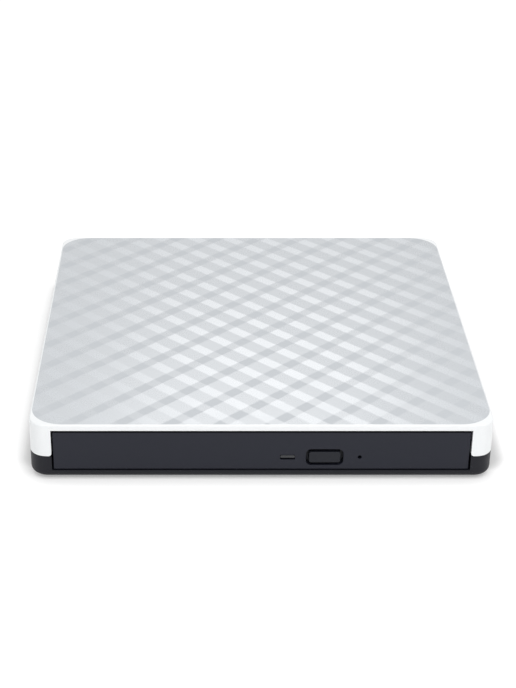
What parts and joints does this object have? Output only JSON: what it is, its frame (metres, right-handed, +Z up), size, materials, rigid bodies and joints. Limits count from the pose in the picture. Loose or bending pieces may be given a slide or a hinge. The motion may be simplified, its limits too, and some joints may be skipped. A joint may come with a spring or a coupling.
{
  "type": "external dvd drive",
  "caption": "Slim external disc drive: white printed top cover, black base, charcoal bezel with eject button, and a tray that slides out on steel rails with spindle and pickup.",
  "frame": {"origin": "on the table, under the middle of the case", "axes": "+Z up, front bezel faces -Y, +X to the right seen from the front"},
  "size_m": [0.1428, 0.1434, 0.0195],
  "materials": {
    "printed_white": "satin white cover with a printed pale grey diagonal plaid on its top",
    "black_shell": "fine matt black",
    "black_rubber": "soft matt",
    "bright_steel": "bright zinc plated",
    "circuit_board": "green solder resist",
    "chip_black": "moulded black",
    "pressed_steel": "plain galvanised sheet",
    "black_guide": "slippery black",
    "flat_cable": "amber film",
    "rail_steel": "bright pressed sheet",
    "tray_black": "fine grained black",
    "bezel_charcoal": "fine grained charcoal",
    "smoked_pipe": "smoked, half gloss",
    "clear_pipe": "milky clear",
    "ivory_plastic": "natural moulded",
    "copper_winding": "lacquered copper",
    "grey_pawl": "slippery grey",
    "cast_grey": "plain die cast",
    "lens_glass": "coated, faint blue"
  },
  "bodies": {
    "case": {"top_cover": "printed_white", "bottom_cover": "black_shell", "rubber_feet": "black_rubber", "case_screws": "bright_steel", "bridge_board": "circuit_board", "bridge_chip": "chip_black", "usb_socket": "bright_steel", "usb_tongue": "chip_black", "bridge_socket": "chip_black", "drive_chassis": "pressed_steel", "drive_lid": "pressed_steel", "lid_screws": "bright_steel", "left_guide": "black_guide", "right_guide": "black_guide", "drive_board": "circuit_board", "drive_chips": "chip_black", "drive_plug": "chip_black", "latch_post": "bright_steel", "flex_cable": "flat_cable"},
    "left_runner": {"left_rail": "rail_steel"},
    "right_runner": {"right_rail": "rail_steel"},
    "tray": {"disc_tray": "tray_black", "tray_bezel": "bezel_charcoal", "light_pipe": "smoked_pipe", "front_board": "circuit_board", "eject_switch": "bright_steel", "activity_lamp": "clear_pipe", "tray_board": "circuit_board", "tray_chip": "chip_black", "flex_connector": "ivory_plastic", "traverse_base": "pressed_steel", "rubber_dampers": "black_rubber", "traverse_screws": "bright_steel", "spindle_base": "pressed_steel", "motor_stator": "copper_winding", "main_rod": "bright_steel", "sub_rod": "bright_steel", "sled_motor": "rail_steel", "latch_solenoid": "copper_winding", "eject_spring": "bright_steel"},
    "spindle": {"spindle_rotor": "rail_steel", "spindle_shaft": "bright_steel", "turntable_hub": "tray_black", "turntable_pad": "black_rubber"},
    "pawl_1": {"hub_pawl_1": "grey_pawl"},
    "pawl_2": {"hub_pawl_2": "grey_pawl"},
    "pawl_3": {"hub_pawl_3": "grey_pawl"},
    "pickup": {"pickup_body": "cast_grey", "pickup_cover": "rail_steel", "rack_follower": "ivory_plastic"},
    "lens": {"lens_holder": "grey_pawl", "objective_lens": "lens_glass"},
    "screw": {"lead_screw": "bright_steel"},
    "button": {"eject_button": "bezel_charcoal"},
    "latch": {"latch_lever": "ivory_plastic"},
    "plunger": {"solenoid_plunger": "bright_steel"},
    "pusher": {"eject_pusher": "black_guide"}
  },
  "joints": [
    {"name": "tray_slide", "type": "slide", "parent": "case", "child": "tray", "axis": [0, -1, 0], "range_m": [0, 0.127], "deforming": ["flex_cable"]},
    {"name": "left_rail_slide", "type": "slide", "parent": "case", "child": "left_runner", "axis": [0, -1, 0], "range_m": [0, 0.0635]},
    {"name": "right_rail_slide", "type": "slide", "parent": "case", "child": "right_runner", "axis": [0, -1, 0], "range_m": [0, 0.0635]},
    {"name": "eject_press", "type": "slide", "parent": "tray", "child": "button", "axis": [0, 1, 0], "range_m": [0, 0.0005], "stiffness_N_per_m": 1500},
    {"name": "spindle_spin", "type": "hinge", "parent": "tray", "child": "spindle", "pos_m": [0.0015, -0.0042, 0.0097], "axis": [0, 0, 1], "continuous": true},
    {"name": "pawl_1_slide", "type": "slide", "parent": "spindle", "child": "pawl_1", "axis": [0.7071, 0.7071, 0], "range_m": [0, 0.0005], "stiffness_N_per_m": 300},
    {"name": "pawl_2_slide", "type": "slide", "parent": "spindle", "child": "pawl_2", "axis": [-0.9659, 0.2588, 0], "range_m": [0, 0.0005], "stiffness_N_per_m": 300},
    {"name": "pawl_3_slide", "type": "slide", "parent": "spindle", "child": "pawl_3", "axis": [0.2588, -0.9659, 0], "range_m": [0, 0.0005], "stiffness_N_per_m": 300},
    {"name": "pickup_slide", "type": "slide", "parent": "tray", "child": "pickup", "axis": [-0.7071, -0.7071, 0], "range_m": [0, 0.034]},
    {"name": "lead_screw_spin", "type": "hinge", "parent": "tray", "child": "screw", "pos_m": [0.01561, -0.01831, 0.0068], "axis": [-0.7071, -0.7071, 0], "continuous": true},
    {"name": "lens_focus", "type": "slide", "parent": "pickup", "child": "lens", "axis": [0, 0, 1], "range_m": [-0.0003, 0.0004], "stiffness_N_per_m": 60},
    {"name": "latch_pivot", "type": "hinge", "parent": "tray", "child": "latch", "pos_m": [0.02848, -0.03801, 0.0061], "axis": [0, 0, 1], "range_deg": [-18, 0]},
    {"name": "plunger_slide", "type": "slide", "parent": "tray", "child": "plunger", "axis": [1, 0, 0], "range_m": [0, 0.0015]},
    {"name": "pusher_slide", "type": "slide", "parent": "tray", "child": "pusher", "axis": [0, 1, 0], "range_m": [0, 0.012], "deforming": ["eject_spring"]}
  ],
  "couplings": [
    {"joint": "left_rail_slide", "follows": "tray_slide", "ratio": 0.5},
    {"joint": "right_rail_slide", "follows": "tray_slide", "ratio": 0.5},
    {"joint": "pusher_slide", "follows": "tray_slide", "ratio": 0.09448},
    {"joint": "lead_screw_spin", "follows": "pickup_slide", "rad_per_m": 2094.4},
    {"joint": "latch_pivot", "follows": "plunger_slide", "rad_per_m": -200}
  ]
}
